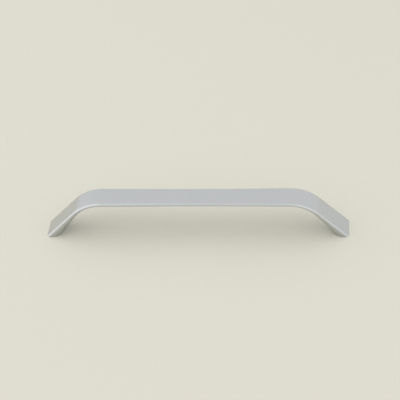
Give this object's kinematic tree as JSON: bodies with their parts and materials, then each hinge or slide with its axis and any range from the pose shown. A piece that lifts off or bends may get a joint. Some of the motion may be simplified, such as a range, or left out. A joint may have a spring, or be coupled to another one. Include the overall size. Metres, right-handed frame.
{
  "type": "bridge pull handle",
  "caption": "Bridge pull handle cast in one piece: flat satin strap bent down into D-shaped feet with blind threaded holes for screws from behind the panel.",
  "frame": {"origin": "centre of the plane of the two feet, midway between the fixing holes", "axes": "+X along the handle, +Y across it, +Z out of the panel that it is screwed to"},
  "size_m": [0.207, 0.019, 0.028],
  "materials": {
    "satin_chrome": "satin chrome plating over die-cast zinc alloy"
  },
  "bodies": {
    "root": {"handle": "satin_chrome"}
  },
  "joints": []
}
